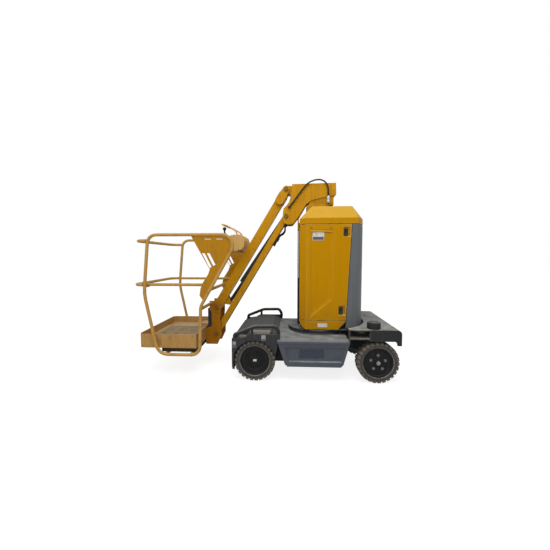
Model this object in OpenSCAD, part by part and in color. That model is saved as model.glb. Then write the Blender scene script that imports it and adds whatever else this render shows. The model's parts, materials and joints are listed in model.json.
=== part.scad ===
// Mast boom lift with a parallelogram jib and a caged basket, stowed for parking.
// Millimetres. X runs back from the basket, Y across, Z up, with the floor at 0.

/* [Wheels] */
// Distance between the front and rear axles
wheelbase = 1200; // [1150:5:1240]
// From the front axle back to the slew axis
axle_to_slew = 643; // [635:1:655]
// Tyre diameter over the tread
tyre_d = 406; // [396:2:412]
// Tyre width
tyre_w = 125; // [115:1:130]
// Outer tyre face inboard of the side panels
wheel_in = 15; // [11:1:19]
// Radius where the tyre sits on the rim
rim_r = 145; // [142:1:148]
// Stub axle diameter
stub_d = 44; // [36:1:50]
// Kingpin inboard of the wheel's middle
kingpin_in = 40; // [36:1:42]
// Kingpin diameter
kingpin_d = 30; // [24:1:34]
// Lugs on each shoulder of a tyre
lugs = 26; // [20:1:30]

/* [Chassis] */
// Width over the side panels
chassis_w = 990; // [984:2:1000]
// Top of the deck
deck_z = 425; // [420:1:430]
// Underside of the chassis spine
belly_z = 120; // [110:1:130]
// Front face ahead of the slew axis
nose = 865; // [862:1:880]
// Half width of the chassis spine
spine_half = 235; // [225:1:240]
// Top of the rear tray
tray_z = 530; // [526:1:536]
// Thickness of the tray plate
tray_t = 12; // [8:1:14]
// Rear face of the tray behind the slew axis
tray_rear = 766; // [762:1:775]
// Front edge of the tray behind the slew axis
tray_front = 270; // [265:1:275]
// Radius of the swing cut-out in the tray
swing_r = 510; // [505:1:514]
// Diameter of the four holes in the tray
tray_hole_d = 14; // [10:1:18]
// Guard hoop tube diameter
hoop_d = 36; // [30:1:38]

/* [Tower] */
// Half width of the tower
tower_half = 300; // [292:1:304]
// Front of the tower ahead of the slew axis
tower_front = 197; // [195:1:205]
// Door and cover thickness
skin = 25; // [20:1:28]
// Lower edge of the doors
door_low = 578; // [574:1:582]
// Upper edge of the doors
door_top = 1556; // [1540:1:1560]
// Top of the tower cap
cap_top = 1750; // [1740:1:1760]
// Radius of the rear cover round the slew axis
cover_r = 485; // [478:1:490]
// Door hinge post diameter
post_d = 20; // [16:1:22]

/* [Mast] */
// Fixed section, size along X
mast_x = 360; // [350:2:364]
// Fixed section, size along Y
mast_y = 340; // [330:2:344]
// Wall of each section
mast_wall = 10; // [8:1:10]
// Space between one section and the next
mast_gap = 6; // [6:0.5:7]
// Top of the fixed section
mast_top = 1545; // [1530:1:1550]

/* [Jib] */
// Length of the jib between its pins
jib_len = 1510; // [1500:1:1520]
// Angle of the stowed jib below level
stow_deg = 58.9; // [58.4:0.1:59.2]
// Height between upper and lower jib pins
pin_gap = 290; // [286:1:296]
// Jib pin diameter
jib_pin_d = 40; // [32:1:44]
// Beam depth
beam_h = 94; // [88:1:96]
// Beam width
beam_w = 100; // [90:2:110]
// Depth of the lower link bars
link_h = 60; // [54:1:64]
// Lift cylinder barrel diameter
barrel_d = 78; // [72:1:80]
// Lift cylinder rod diameter
rod_d = 36; // [30:1:38]

/* [Basket] */
// Side frames from the centre plane
loop_y = 460; // [456:1:464]
// Frame tube diameter
tube_d = 32; // [28:1:34]
// Height of the bottom tube of the side frames
loop_low = 247; // [242:1:252]
// Height of the top rail of the side frames
loop_top = 1443; // [1435:1:1450]
// Front rail ahead of the slew axis
rail_front = 1856; // [1850:1:1862]
// Height of the middle rails
mid_rail_z = 948; // [942:1:954]
// Underside of the basket floor
floor_z = 307; // [302:1:312]
// Top of the toe boards
toe_z = 449; // [440:1:460]
// Gate pivot diameter
gate_pin_d = 16; // [12:1:18]

/* [Hidden] */
$fn = 64;

// Clearances: seated pieces, running fits on pins, and room round moving pieces
seat = 0.3;
run_fit = 0.2;
room = 6;

yellow = "#E2A10E";
tan_yellow = "#C49A4A";
dark = "#3A3B3D";
grey = "#6B7078";
black = "#1C1C1D";
steel = "#A5A7A9";

axle_z = tyre_d / 2;
front_x = -axle_to_slew;
rear_x = wheelbase - axle_to_slew;
side_y = chassis_w / 2;
wheel_mid = side_y - wheel_in - tyre_w / 2;
king_y = wheel_mid - kingpin_in;
arch_r = tyre_d / 2 + 8;
rim_well = rim_r - 20;
hoop_foot = deck_z + 10;
hoop_top = 545;
arch_top = 474;

axle_half = 40;
axle_h = 90;
axle_top = axle_z + axle_h / 2;
axle_low = axle_z - axle_h / 2;

ring_top = deck_z + 15;
plate_low = deck_z + 45;
plate_top = plate_low + 12;
bulkhead_half = tower_half - skin;
plate_rear = sqrt(pow(cover_r - skin - room, 2) - pow(bulkhead_half, 2)) - 17;

cap_low = door_top + room;
cover_low = plate_top + 13;
seam_slope = 44 / 870;
lug_fill = 0.62;
guide_x = tower_front + 16;
guide_top = mast_top - 15;

// Jib geometry on the side view: upper and lower pins at the head, then at the basket
p1 = [-341, 1957];
p2 = p1 - [0, pin_gap];
jib_dir = [-cos(stow_deg), -sin(stow_deg)];
jib_low = [sin(stow_deg), -cos(stow_deg)];
p3 = p1 + jib_len * jib_dir;
plate_in = 94;
plate_out = 106;
lug_r = 38;
link_in = barrel_d / 2 + 12;
link_out = 85;
q_back = 110;
q_off = 90;
q = p3 - q_back * jib_dir + q_off * jib_low;
lift_len = norm(q - p2);
lift_dir = (q - p2) / lift_len;
lift_deg = atan2(lift_dir[1], lift_dir[0]);
bore_start = 60;
rod_len = lift_len - bore_start - 90;
barrel_len = lift_len - 272;

// The basket is drawn with its upper pin here, then moved to the end of the jib
head_pin = [-1121, 664];
head_low_pin = head_pin - [0, pin_gap];
basket_at = p3 - head_pin;

// The slew axis stands off the middle of the whole length
slew_x = (rail_front - basket_at[0] + tube_d / 2 - tray_rear) / 2;

// Side frame corners, from the top of the front post round to the front of the floor
tube_r = tube_d / 2;
loop_pts = [
    [-1697, loop_top], [-775, loop_top], [-1180, 735],
    [-1194, loop_low], [-1622, loop_low], [-1750, 860]
];
loop_rad = [90, 110, 120, 90, 120, 500];
bearer_z = loop_low + tube_r + seat;
floor_rear = -1236;
floor_front = -1828;
floor_top = floor_z + 63;
floor_half = loop_y - tube_r - 4;
bearer_y = floor_half - 20;
bearer_len = floor_rear + 1600 - 8;
top_rail_z = loop_top - 58;
console_z = 1284;
shelf_z = 1456;
gate_x = -1120;
latch_w = 72;
latch_h = 100;
latch_spots = [[seam_x(1478) - 84, 1428], [seam_x(680) - 84, 630]];
gate_y = -(loop_y - tube_r - 14 - 15);
gate_r = 15;

function unit(v) = v / norm(v);
function seam_x(z) = 278 + (z - 633) * seam_slope;
function cycle(i, n) = (i + n) % n;
function heading(p, i) = unit(p[cycle(i + 1, len(p))] - p[cycle(i, len(p))]);
function bend(p, i) = let (a = heading(p, i - 1), b = heading(p, i))
    atan2(a[0] * b[1] - a[1] * b[0], a * b);
function setback(p, rad, i, shut) =
    !shut && (i == 0 || i == len(p) - 1) ? 0 : rad[i] * tan(abs(bend(p, i)) / 2);
function post_x(z) = loop_pts[5][0]
    + (z - loop_pts[5][1]) * (loop_pts[0][0] - loop_pts[5][0]) / (loop_pts[0][1] - loop_pts[5][1]);
function slant_x(z) = loop_pts[2][0]
    + (z - loop_pts[2][1]) * (loop_pts[1][0] - loop_pts[2][0]) / (loop_pts[1][1] - loop_pts[2][1]);

// A side-view shape given width across the machine
module slab(y_low, y_high) {
    translate([0, y_high, 0]) rotate([90, 0, 0]) linear_extrude(y_high - y_low) children();
}

module both_sides() {
    children();
    mirror([0, 1, 0]) children();
}

module bar_y(at, r, y_low, y_high) {
    translate([at[0], y_high, at[1]]) rotate([90, 0, 0]) cylinder(r = r, h = y_high - y_low);
}

// Stations along a flat path with rounded corners: position, then the direction to its left
function stations(p, rad, shut) = [
    for (i = [0 : len(p) - 1])
        let (tip = !shut && (i == 0 || i == len(p) - 1))
        let (d = heading(p, tip && i > 0 ? i - 1 : tip ? i : i - 1))
        let (turn = tip ? 0 : bend(p, i))
        let (steps = tip ? 0 : ceil(abs(turn) / 16))
        let (side = turn > 0 ? 1 : -1)
        let (start = p[i] - d * setback(p, rad, i, shut))
        let (centre = start + side * rad[i] * [-d[1], d[0]])
        for (k = [0 : steps])
            let (a = tip ? 0 : turn * k / steps)
            let (left = [-d[1] * cos(a) - d[0] * sin(a), d[0] * cos(a) - d[1] * sin(a)])
            [tip ? p[i] : centre - side * rad[i] * left, left]
];

// A round tube along such a path
module tube_path(p, rad, r, shut = false, sides = 16) {
    rings = stations(p, rad, shut);
    n = len(rings);
    corners = [
        for (g = rings, s = [0 : sides - 1])
            let (a = 360 * s / sides)
            [g[0][0] + r * cos(a) * g[1][0], g[0][1] + r * cos(a) * g[1][1], r * sin(a)]
    ];
    walls = [
        for (i = [0 : shut ? n - 1 : n - 2], s = [0 : sides - 1], half = [0, 1])
            let (t = (s + 1) % sides, a = i * sides, b = ((i + 1) % n) * sides)
            half == 0 ? [a + s, b + t, a + t] : [a + s, b + s, b + t]
    ];
    ends = shut ? [] : [
        [for (s = [0 : sides - 1]) s],
        [for (s = [0 : sides - 1]) n * sides - 1 - s]
    ];
    polyhedron(points = corners, faces = concat(walls, ends), convexity = 6);
}

module side_tube(p, rad, r, y, shut = false) {
    translate([0, y, 0]) rotate([90, 0, 0]) tube_path(p, rad, r, shut);
}

// Chassis spine, deck, front plate and the hub motors of the drive wheels
module chassis_frame() color(dark) {
    difference() {
        union() {
            translate([-nose + 18, -spine_half, belly_z])
                cube([nose - 18 + tray_front, 2 * spine_half, deck_z - 20 - belly_z]);
            translate([tray_front - 1, -150, axle_top])
                cube([tray_rear - 40 - tray_front, 300, deck_z - 20 - axle_top]);
            translate([swing_r + 5, -150, deck_z - 21])
                cube([tray_rear - 45 - swing_r, 300, tray_z - tray_t - deck_z + 21]);
            translate([-420, -side_y + 6, deck_z - 20]) cube([690, 2 * side_y - 12, 20]);
            translate([-nose, -side_y + 14, belly_z]) cube([18.5, 2 * side_y - 28, deck_z - 5 - belly_z]);
            both_sides() bar_y([front_x, axle_z], 105, spine_half - 2, wheel_mid - tyre_w / 2 - 8);
            both_sides() bar_y([front_x, axle_z], stub_d / 2, spine_half, wheel_mid + 26);
        }
        translate([0, 0, deck_z - 4]) cylinder(r = 210, h = 10);
    }
}

// Front hood between the wheels with the wheel arch panels at its sides
module front_cover() color(dark) {
    slab(-350, 350) polygon([
        [-nose, deck_z - 4], [-nose, deck_z + 2], [-720, deck_z + 48], [-640, deck_z + 62],
        [-486, deck_z + 60], [-468, deck_z + 36], [-421, deck_z + 20], [-421, deck_z - 19.5],
        [-nose + 19, deck_z - 19.5],
        [-nose + 19, deck_z - 4]
    ]);
    both_sides() {
        slab(340, side_y - 10) polygon([
            [-nose + 30, deck_z - 8], [-nose + 62, deck_z + 12], [-421, deck_z + 12], [-421, deck_z - 4]
        ]);
        hood_shoulder();
        slab(side_y - 13, side_y) difference() {
            polygon([
                [-nose, 150], [-nose, hoop_foot - 8], [-862, hoop_foot - seat], [-815, hoop_foot - seat],
                [-720, 446], [-690, arch_top], [-388, arch_top], [-394, deck_z + seat], [-421, deck_z + seat],
                [-421, 340], [-430, 300], [-470, 203], [-800, 93], [-812, 93]
            ]);
            translate([front_x, axle_z]) circle(r = arch_r);
        }
    }
}

// Sloped shoulder of the hood over a drive wheel, with two sunk panels
module hood_shoulder() {
    inner = 342;
    outer = side_y - 11;
    difference() {
        translate([-724, 0, 0]) rotate([90, 0, 90]) linear_extrude(303) polygon([
            [inner, deck_z], [outer, deck_z], [outer, deck_z + 34], [outer - 10, deck_z + 40],
            [inner + 26, deck_z + 60], [inner, deck_z + 60]
        ]);
        slab(inner - 1, outer + 1) polygon([
            [-730, deck_z + 30], [-730, deck_z + 70], [-640, deck_z + 70], [-690, deck_z + 52]
        ]);
        slab(inner - 1, outer + 1) polygon([
            [-486, deck_z + 61], [-468, deck_z + 36], [-420, deck_z + 20], [-420, deck_z + 70],
            [-486, deck_z + 70]
        ]);
        for (x = [-690, -590]) translate([x, inner + 34, deck_z + 38]) cube([x < -600 ? 84 : 92, 84, 40]);
    }
}

// Tube hoops over the front wheels, each with a middle post
module guard_hoops() color(black) {
    both_sides() {
        side_tube(
            [[-841, hoop_foot], [-841, 464], [-640, hoop_top], [-438, hoop_top + 4], [-408, 500],
                [-408, arch_top + seat]],
            [0, 25, 110, 40, 30, 0], hoop_d / 2, side_y - 24
        );
        translate([-668, side_y - 24, arch_top + seat])
            cylinder(d = hoop_d - 10, h = hoop_top - arch_top - 16);
    }
}

// Closed battery boxes between the wheels
module side_boxes() color(grey) {
    both_sides() difference() {
        union() {
            slab(spine_half + seat, side_y - 6) {
                polygon([[-420, deck_z - 20 - seat], [283, deck_z - 20 - seat], [222, 182],
                    [196, 157], [-320, 157], [-346, 182]]);
            }
            slab(side_y - 7, side_y) polygon([[-420, deck_z - 20 - seat], [283, deck_z - 20 - seat],
                [278, deck_z - 42], [-413, deck_z - 42]]);
        }
        hull() {
            slab(side_y - 6, side_y - 5) polygon([[-352, 356], [248, 356], [212, 203], [-310, 203]]);
            slab(side_y - 20, side_y - 19) polygon([[-336, 342], [232, 342], [202, 215], [-300, 215]]);
        }
        slab(side_y - 24, side_y) translate([-207, 235]) square([241, 93]);
        for (z = [352, 372]) slab(side_y - 3, side_y + 1) translate([-405, z + 24]) square([680, 4]);
    }
}

// Bent rear tray with its pockets, four holes and the filler cap
module rear_tray() color(dark) {
    difference() {
        slab(-side_y, side_y) {
            translate([tray_front, tray_z - tray_t]) square([tray_rear - 40 - tray_front, tray_t]);
            translate([tray_front, 405]) square([tray_t, tray_z - 405]);
            translate([tray_rear - tray_t, 380]) square([tray_t, tray_z - 40 - 380]);
            intersection() {
                translate([tray_rear - 40, tray_z - 40]) difference() {
                    circle(r = 40);
                    circle(r = 40 - tray_t);
                }
                translate([tray_rear - 40, tray_z - 40]) square(60);
            }
        }
        cylinder(r = swing_r, h = 700);
        for (x = [580, 640], y = [-175, 175])
            translate([x, y, tray_z - 30]) cylinder(d = tray_hole_d, h = 60);
    }
    both_sides() difference() {
        slab(swing_r - 110, side_y) difference() {
            translate([tray_front + 2, 434]) square([206, tray_z - tray_t - 433]);
            translate([tray_front + 12, 445]) square([185, tray_z - tray_t - 445 + 5]);
        }
        cylinder(r = swing_r, h = 700);
    }
    both_sides() slab(side_y - 10, side_y) polygon([
        [tray_rear - 2, 380], [tray_rear - 40, 380], [tray_rear - 48, 420], [tray_front + 200, 420],
        [tray_front + 200, tray_z - tray_t + 2], [tray_rear - 30, tray_z - tray_t + 2],
        [tray_rear - 2, tray_z - 40]
    ]);
    translate([520, -side_y + 75, tray_z - 1]) cylinder(d = 112, h = 42);
    translate([520, -side_y + 75, tray_z + 40]) cylinder(d = 122, h = 20);
}

module steer_axle() color(black) {
    difference() {
        union() {
            translate([rear_x - axle_half, -king_y + 20, axle_low])
                cube([2 * axle_half, 2 * king_y - 40, axle_h - seat]);
            both_sides() translate([rear_x, king_y, axle_low]) cylinder(r = 34, h = axle_h - seat);
        }
        both_sides() translate([rear_x, king_y, 0]) cylinder(d = kingpin_d + 2 * run_fit, h = 400);
    }
}

module slew_ring() color(steel) {
    difference() {
        translate([0, 0, deck_z]) cylinder(r = 300, h = 15);
        translate([0, 0, deck_z - 1]) cylinder(r = 200, h = 20);
    }
}

// Wheels are drawn round the Y axis with their outer side towards -Y
module tyre_shape() {
    half = tyre_w / 2;
    r = tyre_d / 2;
    base = r - 11;
    rotate([90, 0, 0]) {
        rotate_extrude() polygon([
            [rim_r + seat, -half + 14], [rim_r + 12, -half + 4], [r - 34, -half + 3], [base - 12, -half + 7],
            [base, -half + 20], [base, half - 20], [base - 12, half - 7], [r - 34, half - 3],
            [rim_r + 12, half - 4], [rim_r + seat, half - 14]
        ]);
        for (side = [0, 1], i = [0 : lugs - 1])
            rotate([0, 0, 360 / lugs * (i + side / 2 + lug_fill / 2)]) mirror([0, 0, side]) tyre_lug(half, r);
    }
}

// One shoulder lug, its tips on the tyre's full diameter
module tyre_lug(half, r) {
    span = 2 * r * sin(180 / lugs * lug_fill);
    top = sqrt(r * r - span * span / 4);
    rotate([90, 0, 0]) translate([0, 0, -span / 2]) linear_extrude(span) polygon([
        [r - 36, -half + 6], [r - 33, -half], [r - 14, -half + 1], [top, -half + 15],
        [top, -4], [top - 16, -4], [top - 16, -half + 12]
    ]);
}

module drive_rim_shape() {
    rotate([90, 0, 0]) difference() {
        rotate_extrude() polygon([
            [0, 28], [0, 40], [46, 40], [46, 34], [92, 34], [100, 42], [rim_r - 14, 42],
            [rim_r - 10, tyre_w / 2 - 12], [rim_r, tyre_w / 2 - 12], [rim_r, -tyre_w / 2 + 12],
            [rim_well, -tyre_w / 2 + 12], [rim_well, 14], [60, 14], [60, -4], [0, -4]
        ]);
        translate([0, 0, -20]) cylinder(d = stub_d + 2 * run_fit, h = 48);
    }
}

module steer_rim_shape() {
    rotate([90, 0, 0]) difference() {
        rotate_extrude() polygon([
            [0, 44], [0, 58], [14, 57], [24, 52], [28, 44], [40, 44], [44, 38], [rim_r - 22, 38],
            [rim_r - 12, tyre_w / 2 - 12], [rim_r, tyre_w / 2 - 12], [rim_r, -tyre_w / 2 + 12],
            [rim_well, -tyre_w / 2 + 12], [rim_well, 22], [50, 22], [50, 14], [0, 14]
        ]);
        translate([0, 0, -20]) cylinder(d = stub_d + 2 * run_fit, h = 58);
    }
}

module at_wheel(x, side) {
    translate([x, side * wheel_mid, axle_z]) rotate([0, 0, side < 0 ? 0 : 180]) children();
}

module drive_tyre_near() color(dark) at_wheel(front_x, -1) tyre_shape();
module drive_rim_near() color(black) at_wheel(front_x, -1) drive_rim_shape();
module drive_tyre_far() color(dark) at_wheel(front_x, 1) tyre_shape();
module drive_rim_far() color(black) at_wheel(front_x, 1) drive_rim_shape();
module steer_tyre_near() color(dark) at_wheel(rear_x, -1) tyre_shape();
module steer_rim_near() color(black) at_wheel(rear_x, -1) steer_rim_shape();
module steer_tyre_far() color(dark) at_wheel(rear_x, 1) tyre_shape();
module steer_rim_far() color(black) at_wheel(rear_x, 1) steer_rim_shape();

// Steering knuckle: kingpin, two arms round the axle end, stub axle and a short lever
module knuckle_shape() {
    arm = 16;
    translate([rear_x, 0, 0]) {
        translate([0, -king_y, axle_low - 1 - arm]) cylinder(d = kingpin_d, h = axle_h + 2 + 2 * arm);
        for (z = [axle_low - 1 - arm, axle_top + 1]) {
            translate([0, -king_y, z]) cylinder(r = 32, h = arm);
            translate([-30, -king_y - 52, z]) cube([60, 52, arm]);
        }
        translate([-30, -king_y - 52, axle_low - 1 - arm]) cube([60, 14, axle_h + 2 + 2 * arm]);
        bar_y([0, axle_z], stub_d / 2, -wheel_mid - 34, -king_y - 40);
        translate([-58, -king_y + 14, axle_low - 1 - arm]) cube([60, 26, arm]);
    }
}

module knuckle_near() color(black) knuckle_shape();
module knuckle_far() color(black) mirror([0, 1, 0]) knuckle_shape();

// Outline of the tower seen from above, drawn inside by a margin
module tower_plan(m) {
    intersection() {
        polygon([
            [-tower_front + m, -235 + m * 0.4], [-tower_front + m, 235 - m * 0.4],
            [-tower_front + 67 + m * 0.4, tower_half - m], [cover_r, tower_half - m],
            [cover_r, -tower_half + m], [-tower_front + 67 + m * 0.4, -tower_half + m]
        ]);
        circle(r = cover_r - m, $fn = 128);
    }
}

// Turntable with its plate, rear bulkhead and the door hinge posts
module turntable() color(dark) {
    translate([0, 0, deck_z + 1]) cylinder(r = 200 - 0.1, h = 16);
    translate([0, 0, ring_top + 0.5]) cylinder(r = 315, h = plate_low - ring_top - 0.5 + 1);
    translate([0, 0, plate_low]) linear_extrude(plate_top - plate_low) intersection() {
        tower_plan(1);
        translate([-400, -400]) square([400 + plate_rear, 800]);
    }
    translate([plate_rear - 12, -bulkhead_half, plate_top - 1])
        cube([12, 2 * bulkhead_half, cap_low + 38 - plate_top]);
    both_sides() translate([-tower_front + 19, -200, plate_top - 1])
        cylinder(d = post_d, h = cap_low - plate_top);
}

module mast_tube(i, low, high) {
    x = mast_x - 2 * i * (mast_wall + mast_gap);
    y = mast_y - 2 * i * (mast_wall + mast_gap);
    difference() {
        translate([-x / 2, -y / 2, low]) cube([x, y, high - low]);
        translate([-x / 2 + mast_wall, -y / 2 + mast_wall, low - 1])
            cube([x - 2 * mast_wall, y - 2 * mast_wall, high - low + 2]);
    }
}

// Wear pads low on the outside of a moving section
module mast_pads(i, low) {
    x = mast_x - 2 * i * (mast_wall + mast_gap);
    y = mast_y - 2 * i * (mast_wall + mast_gap);
    out = mast_gap - seat;
    for (s = [-1, 1]) {
        translate([-40, s > 0 ? y / 2 - 1 : -y / 2 - out, low + 10]) cube([80, out + 1, 120]);
        translate([s > 0 ? x / 2 - 1 : -x / 2 - out, -40, low + 10]) cube([out + 1, 80, 120]);
    }
}

// Fixed section with the chain guide on its front
module mast_base() color(dark) {
    mast_tube(0, plate_top, mast_top);
    translate([-guide_x, -60, plate_top]) cube([guide_x - mast_x / 2 + 1, 120, guide_top - plate_top]);
}

module mast_section(i) {
    mast_tube(i, plate_top + 4, mast_top + 20 * i);
    mast_pads(i, plate_top + 4);
}

module mast_1() color(steel) mast_section(1);
module mast_2() color(steel) mast_section(2);
module mast_3() color(steel) mast_section(3);

module mast_4() color(steel) {
    mast_tube(4, plate_top + 4, 1772);
    mast_pads(4, plate_top + 4);
    x = mast_x - 8 * (mast_wall + mast_gap);
    y = mast_y - 8 * (mast_wall + mast_gap);
    translate([-x / 2, -y / 2, 1770]) cube([x, y, 10]);
}

// One side skin of the tower seen from above, from the door edge to behind the seam
module side_skin() {
    f = -tower_front;
    polygon([
        [f, -212], [f, -235], [f + 67, -tower_half], [420, -tower_half], [420, -tower_half + skin],
        [f + 67 + 11, -tower_half + skin], [f + skin + 3, -235 + 11], [f + skin + 3, -212]
    ]);
}

module tower_skirt() color(yellow) {
    both_sides() intersection() {
        translate([0, 0, plate_top]) linear_extrude(door_low - 5 - plate_top) side_skin();
        slab(-400, 0) polygon([
            [-250, door_low], [-250, 560], [-tower_front, 556], [-186, 523], [-170, 500], [-140, plate_top],
            [194, plate_top], [seam_x(door_low) - 6, door_low - 16], [seam_x(door_low) - 3, door_low]
        ]);
    }
}

// A door with its embossed panel, latch recesses and two hinge lugs
module door_shape() {
    post = [-tower_front + 19, -200];
    difference() {
        union() {
            intersection() {
                translate([0, 0, door_low]) linear_extrude(door_top - door_low) side_skin();
                slab(-400, 0) polygon([
                    [-250, door_low - 1], [seam_x(door_low) - 3, door_low - 1],
                    [seam_x(door_top) - 3, door_top + 1], [-250, door_top + 1]
                ]);
            }
            for (z = [700, 1400]) {
                translate([post[0], post[1], z]) cylinder(d = post_d + 16, h = 40);
                translate([post[0] - 12, post[1] - 32, z]) cube([24, 30, 40]);
            }
        }
        translate([post[0], post[1], door_low - 1]) cylinder(d = post_d + 2 * run_fit, h = 1100);
        hull() {
            slab(-tower_half - 1, -tower_half + 1)
                polygon([[-106, 1508], [150, 1502], [131, 793], [-98, 596]]);
            slab(-tower_half + 9, -tower_half + 10)
                polygon([[-72, 1480], [112, 1474], [96, 806], [-64, 652]]);
        }
        for (p = latch_spots) hull() {
            translate([p[0], -tower_half - 1, p[1]]) cube([latch_w, 2, latch_h]);
            translate([p[0] + 9, -tower_half + 14, p[1] + 9]) cube([latch_w - 18, 1, latch_h - 18]);
        }
    }
    for (p = latch_spots) translate([p[0] + 12, -tower_half + 3, p[1] + 18]) cube([30, 13, 62]);
}

module door_near() color(yellow) door_shape();
module door_far() color(yellow) mirror([0, 1, 0]) door_shape();

module rear_cover() color(grey) {
    intersection() {
        translate([0, 0, cover_low]) linear_extrude(cap_low - room - cover_low) difference() {
            tower_plan(0);
            tower_plan(skin);
        }
        slab(-400, 400) polygon([
            [seam_x(cover_low) + 3, cover_low - 1], [seam_x(cap_low) + 3, cap_low], [430, cap_low],
            [600, 1470], [600, cover_low - 1]
        ]);
    }
}

// Cap with sloped sides, open in the middle for the mast
module tower_cap() color(yellow) {
    difference() {
        hull() {
            translate([0, 0, cap_low]) linear_extrude(58) tower_plan(0);
            translate([-70, -200, cap_top - 2]) cube([410, 400, 2]);
        }
        hull() {
            translate([0, 0, cap_low - 1]) linear_extrude(45) tower_plan(skin);
            translate([-50, -180, cap_top - 22]) cube([370, 360, 2]);
        }
        translate([-400, -mast_y / 2 + 8, cap_low - 10]) cube([572, mast_y - 16, 300]);
    }
}

module counterweight() color(dark) {
    translate([mast_x / 2 + 8, -250, plate_top]) cube([plate_rear - 12 - mast_x / 2 - 8, 500, 760]);
}

// Mast head carrying the jib pins on two cheek plates
module gooseneck() color(yellow) {
    both_sides() slab(plate_in, plate_out) polygon([
        [-277, 2004], [187, 2012], [191, 1886], [86, 1866], [-31, 1843], [-86, 1822], [-129, 1788],
        [-215, 1650], [-264, 1586], [-284, 1578], p2 + [6, -88], p2 + [-26, -70], p2 + [-36, -34],
        p2 + [-36, 30], p2 + [-28, 84], p2 + [-4, 102], [-312, 1812], [-290, 1880]
    ]);
    slab(-plate_in - 1, plate_in + 1) {
        polygon([[-275, 2003], [186, 2011], [186, 1999], [-275, 1991]]);
        polygon([[178, 2009], [185, 2009], [189, 1888], [178, 1888]]);
        polygon([[-guide_x, guide_top + 4], [-guide_x + 9, guide_top + 4], [-guide_x + 9, 1652],
            [-124, 1790], [-84, 1822], [-90, 1834], [-135, 1804], [-guide_x, 1672]]);
        polygon([[-262, 1996], [-240, 1996], [-240, 1868], [-262, 1868]]);
    }
    slab(-70, 70) {
        translate(p1) circle(r = lug_r);
        polygon([p1 + [-8, lug_r - 1], [-250, 1994], [-250, 1884], p1 + [10, -lug_r + 1]]);
    }
    translate([-100, -plate_in - 1, 1780 + seat]) cube([265, 2 * plate_in + 2, 108]);
    bar_y(p1, jib_pin_d / 2, -96, 96);
    bar_y(p2, jib_pin_d / 2, -plate_out - 8, plate_out + 8);
}

module head_hose() color(black) {
    y = -plate_out - 15 - seat;
    side_tube([[105, 1880], [102, 2044], [-92, 2044], [-306, 1758]], [0, 100, 190, 0], 8, y);
    translate([105, y, 1800]) cylinder(r = 14, h = 84);
    translate([105, y, 1822]) cylinder(r = 17, h = 18, $fn = 6);
    bar_y([-306, 1758], 13, y - 12, -plate_out - seat);
}

// Jib beam drawn along +X from its upper pin, underside towards -Z
module upper_beam_shape() {
    difference() {
        union() {
            translate([lug_r + 20, -beam_w / 2, -beam_h / 2]) cube([jib_len - lug_r - 48, beam_w, beam_h]);
            both_sides() slab(74, 88) {
                circle(r = lug_r - 2);
                polygon([[0, lug_r - 2], [84, beam_h / 2], [150, beam_h / 2], [178, 20],
                    [178, -20], [150, -beam_h / 2], [84, -beam_h / 2], [0, 2 - lug_r]]);
            }
            translate([lug_r + 20, -87, -beam_h / 2]) cube([70, 174, beam_h]);
            bar_y([jib_len, 0], beam_h / 2, -88, 88);
            both_sides() slab(rod_d / 2 + 4, rod_d / 2 + 16) {
                translate([jib_len - q_back, -q_off]) circle(r = 27);
                polygon([[jib_len - q_back - 60, -beam_h / 2 + 2], [jib_len - q_back + 50, -beam_h / 2 + 2],
                    [jib_len - q_back + 27, -q_off], [jib_len - q_back - 27, -q_off]]);
            }
        }
        bar_y([0, 0], jib_pin_d / 2 + run_fit, -200, 200);
        bar_y([jib_len, 0], jib_pin_d / 2 + run_fit, -200, 200);
    }
}

// Puts a shape drawn along +X with its underside at -Z along the stowed jib
module along_jib(from) {
    translate([from[0], 0, from[1]]) mirror([1, 0, 0]) rotate([0, stow_deg, 0]) children();
}

module upper_beam() color(yellow) along_jib(p1) upper_beam_shape();

module lower_links() color(yellow) along_jib(p2) {
    both_sides() difference() {
        slab(link_in, link_out) {
            translate([0, -link_h / 2]) square([jib_len, link_h]);
            circle(r = link_h / 2 + 4);
            translate([jib_len, 0]) circle(r = link_h / 2 + 4);
        }
        bar_y([0, 0], jib_pin_d / 2 + run_fit, 0, 200);
        bar_y([jib_len, 0], jib_pin_d / 2 + run_fit, 0, 200);
    }
}

// Hoses standing off the underside of the links, held by a clamp at each end
module jib_hose() color(black) along_jib(p2) {
    low = -link_h / 2 - seat;
    both_sides() {
        side_tube([[70, low - 10], [96, low - 12], [150, low - 46], [214, low - 12], [330, low - 12]],
            [0, 40, 60, 60, 0], 8, -64);
        translate([64, -80, low - 24]) cube([22, 32, 24]);
        translate([236, -80, low - 26]) cube([46, 32, 26]);
        translate([318, -80, low - 22]) cube([26, 32, 22]);
    }
}

module along_lift() {
    translate([p2[0], 0, p2[1]]) rotate([0, -lift_deg, 0]) children();
}

module lift_barrel() color(black) along_lift() difference() {
    union() {
        bar_y([0, 0], 40, -link_in + 8, link_in - 8);
        rotate([0, 90, 0]) cylinder(d = barrel_d, h = barrel_len);
    }
    bar_y([0, 0], jib_pin_d / 2 + run_fit, -100, 100);
    translate([bore_start, 0, 0]) rotate([0, 90, 0]) cylinder(d = rod_d + 2 * seat, h = barrel_len);
}

module lift_rod() color(steel) along_lift() difference() {
    union() {
        translate([lift_len - rod_len, 0, 0]) rotate([0, 90, 0]) cylinder(d = rod_d, h = rod_len - 10);
        bar_y([lift_len, 0], 26, -rod_d / 2, rod_d / 2);
    }
    bar_y([lift_len, 0], 15, -100, 100);
}

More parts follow.
